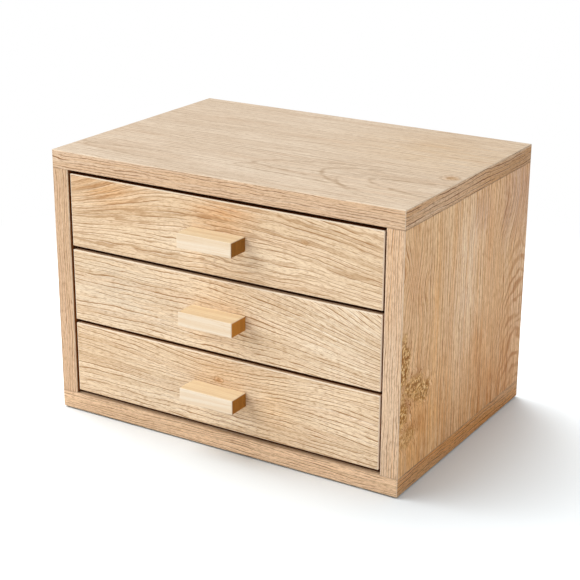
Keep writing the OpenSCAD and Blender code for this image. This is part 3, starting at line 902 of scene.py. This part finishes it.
class CABINET_OT_make_felt_pads(Operator):
    """Four felt pads with soft punched rims, in the space of the CAD pads"""

    bl_idname = "cabinet.make_felt_pads"
    bl_label = "Make the felt pads"

    def execute(self, context):
        low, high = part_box("foot_pads")
        points, faces = [], []
        for x in (low.x + PAD_RADIUS, high.x - PAD_RADIUS):
            for y in (low.y + PAD_RADIUS, high.y - PAD_RADIUS):
                disc_points, disc_faces = felt_disc((x, y), PAD_RADIUS, high.z - low.z)
                faces += [[corner + len(points) for corner in face] for face in disc_faces]
                points += disc_points.tolist()
        mesh = bpy.data.meshes.new("felt_pads")
        mesh.from_pydata(points, [], faces)
        mesh.polygons.foreach_set("use_smooth", [True] * len(mesh.polygons))
        mesh.materials.append(felt_fibres("felt_fibres"))
        pads = put("felt_pads", mesh)
        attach(pads, "cabinet")
        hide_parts("foot_pads")
        return {"FINISHED"}


# The floor as the lamps light it and as the camera sees it, and the radii between which it goes over to white
FLOOR_LIT, FLOOR_SEEN = (0.62, 0.62, 0.62, 1.0), (0.83, 0.875, 0.90, 1.0)
FLOOR_NEAR, FLOOR_FAR = 0.32, 0.62
# Light that the floor seen by the camera gives of its own
FLOOR_LIFT = 0.01


class CABINET_OT_build_studio(Operator):
    """Pale floor, a soft key lamp that spares it, the floor's own lamp, even sky and the camera"""

    bl_idname = "cabinet.build_studio"
    bl_label = "Build the studio"

    def execute(self, context):
        studio = context.scene.cabinet_studio
        plane = self.floor(studio)
        for name, setting, state in (("key_lamp", "key", "EXCLUDE"), ("floor_lamp", "floor_key", "INCLUDE")):
            lamp = self.lamp(studio, name, setting)
            receivers = bpy.data.collections.new(f"{lamp.name}_receivers")
            receivers.objects.link(plane)
            receivers.collection_objects[0].light_linking.link_state = state
            lamp.light_linking.receiver_collection = receivers
        self.sky(context, studio)
        self.camera(context, studio)
        context.scene.view_settings.view_transform = "Standard"
        return {"FINISHED"}

    def floor(self, studio):
        """A plane just under the pads. Seen by the camera it is white but for the cabinet's shadow."""
        half = studio.floor_size / 2
        mesh = bpy.data.meshes.new("studio_floor")
        corners = [(-half, -half, 0.0), (half, -half, 0.0), (half, half, 0.0), (-half, half, 0.0)]
        mesh.from_pydata(corners, [], [(0, 1, 2, 3)])
        material, tree = start_material("studio_floor")
        point = tree.point()
        away = tree.math("SQRT", point[0] * point[0] + point[1] * point[1])
        rays = tree.add("ShaderNodeLightPath")
        seen = tree.math("MAXIMUM", rays["Is Glossy Ray"], rays["Is Transmission Ray"])
        seen = tree.math("MAXIMUM", rays["Is Camera Ray"], seen)
        paint = tree.add("ShaderNodeBsdfDiffuse", {"Color": tree.tint(seen, FLOOR_LIT, FLOOR_SEEN)})[0]
        lift = tree.add("ShaderNodeEmission", {"Color": WHITE, "Strength": seen * FLOOR_LIFT})[0]
        near = tree.add("ShaderNodeAddShader", {0: paint, 1: lift})[0]
        white = tree.add("ShaderNodeEmission", {"Color": WHITE, "Strength": 1.0})[0]
        far = tree.span(away, FLOOR_NEAR, FLOOR_FAR) * seen
        mixed = tree.add("ShaderNodeMixShader", {0: far, 1: near, 2: white})[0]
        nodes = material.node_tree.nodes
        tree.feed(nodes["Material Output"].inputs["Surface"], mixed)
        nodes.remove(nodes["Principled BSDF"])
        mesh.materials.append(material)
        plane = put("studio_floor", mesh)
        return plane

    def lamp(self, studio, name, setting):
        """A square lamp turned from -X towards -Y and raised above the horizon, facing the cabinet. setting is
        the name that its settings begin with."""
        power, size, turn, rise = (getattr(studio, setting + part) for part in ("", "_size", "_turn", "_rise"))
        data = bpy.data.lights.new(name, "AREA")
        data.energy = power
        data.size = size
        lamp = put(name, data)
        towards = Vector((-math.cos(turn) * math.cos(rise), -math.sin(turn) * math.cos(rise), math.sin(rise)))
        lamp.location = Vector((0.0, 0.0, studio.aim)) + towards * studio.reach
        lamp.rotation_mode = "QUATERNION"
        lamp.rotation_quaternion = towards.to_track_quat("Z", "Y")
        lamp.visible_camera = False
        return lamp

    def sky(self, context, studio):
        """Even light from all round. The camera sees it as white."""
        world = bpy.data.worlds.new("studio_sky")
        world.use_nodes = True
        tree = Tree(world.node_tree)
        rays = tree.add("ShaderNodeLightPath")
        seen = tree.math("MAXIMUM", rays["Is Camera Ray"], rays["Is Transmission Ray"])
        background = world.node_tree.nodes["Background"]
        tree.feed(background.inputs["Color"], WHITE)
        tree.feed(background.inputs["Strength"], tree.choose(seen, studio.sky, 1.0))
        context.scene.world = world

    def camera(self, context, studio):
        """Looks turned to the left of +Y and down, with a small roll."""
        turn, dip = studio.turn, studio.dip
        ahead = Vector((-math.sin(turn) * math.cos(dip), math.cos(turn) * math.cos(dip), -math.sin(dip)))
        level = Vector((math.cos(turn), math.sin(turn), 0.0))
        right = level * math.cos(studio.roll) + level.cross(ahead) * math.sin(studio.roll)
        up = right.cross(ahead)
        data = bpy.data.cameras.new("view_camera")
        data.lens = studio.lens
        data.sensor_width = 36.0
        camera = put("view_camera", data)
        place = Matrix((right, up, -ahead)).transposed().to_4x4()
        place.translation = (studio.camera_x, studio.camera_y, studio.camera_z)
        camera.matrix_world = place
        context.scene.camera = camera


class CABINET_PT_pieces(Panel):
    """Lists the cabinet's groups of pieces and their settings"""

    bl_idname = "CABINET_PT_pieces"
    bl_label = "Drawer cabinet"
    bl_space_type = "VIEW_3D"
    bl_region_type = "UI"
    bl_category = "Cabinet"

    def draw(self, context):
        """One button for each operator, then every setting."""
        for operator in OPERATORS:
            self.layout.operator(operator.bl_idname)
        for name in SETTINGS:
            group = getattr(context.scene, name)
            for setting in group.__annotations__:
                self.layout.prop(group, setting)


OPERATORS = (
    CABINET_OT_veneer_boards,
    CABINET_OT_veneer_fronts,
    CABINET_OT_dress_handles,
    CABINET_OT_dress_drawer_boxes,
    CABINET_OT_dress_runners,
    CABINET_OT_dress_fasteners,
    CABINET_OT_make_felt_pads,
    CABINET_OT_build_studio,
)
SETTINGS = {
    "cabinet_oak": OakSettings,
    "cabinet_inside": InsideSettings,
    "cabinet_studio": StudioSettings,
}


def register():
    """Registers the settings, the operators and the panel."""
    for group in SETTINGS.values():
        bpy.utils.register_class(group)
    for name, group in SETTINGS.items():
        setattr(bpy.types.Scene, name, PointerProperty(type=group))
    for operator in (*OPERATORS, CABINET_PT_pieces):
        bpy.utils.register_class(operator)


def unregister():
    """Takes them out again, last one first."""
    for operator in reversed((*OPERATORS, CABINET_PT_pieces)):
        bpy.utils.unregister_class(operator)
    for name, group in reversed(SETTINGS.items()):
        delattr(bpy.types.Scene, name)
        bpy.utils.unregister_class(group)


def main():
    register()
    bpy.ops.cabinet.veneer_boards()
    bpy.ops.cabinet.veneer_fronts()
    bpy.ops.cabinet.dress_handles()
    bpy.ops.cabinet.dress_drawer_boxes()
    bpy.ops.cabinet.dress_runners()
    bpy.ops.cabinet.dress_fasteners()
    bpy.ops.cabinet.make_felt_pads()
    bpy.ops.cabinet.build_studio()
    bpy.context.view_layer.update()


if __name__ == "__main__":
    main()
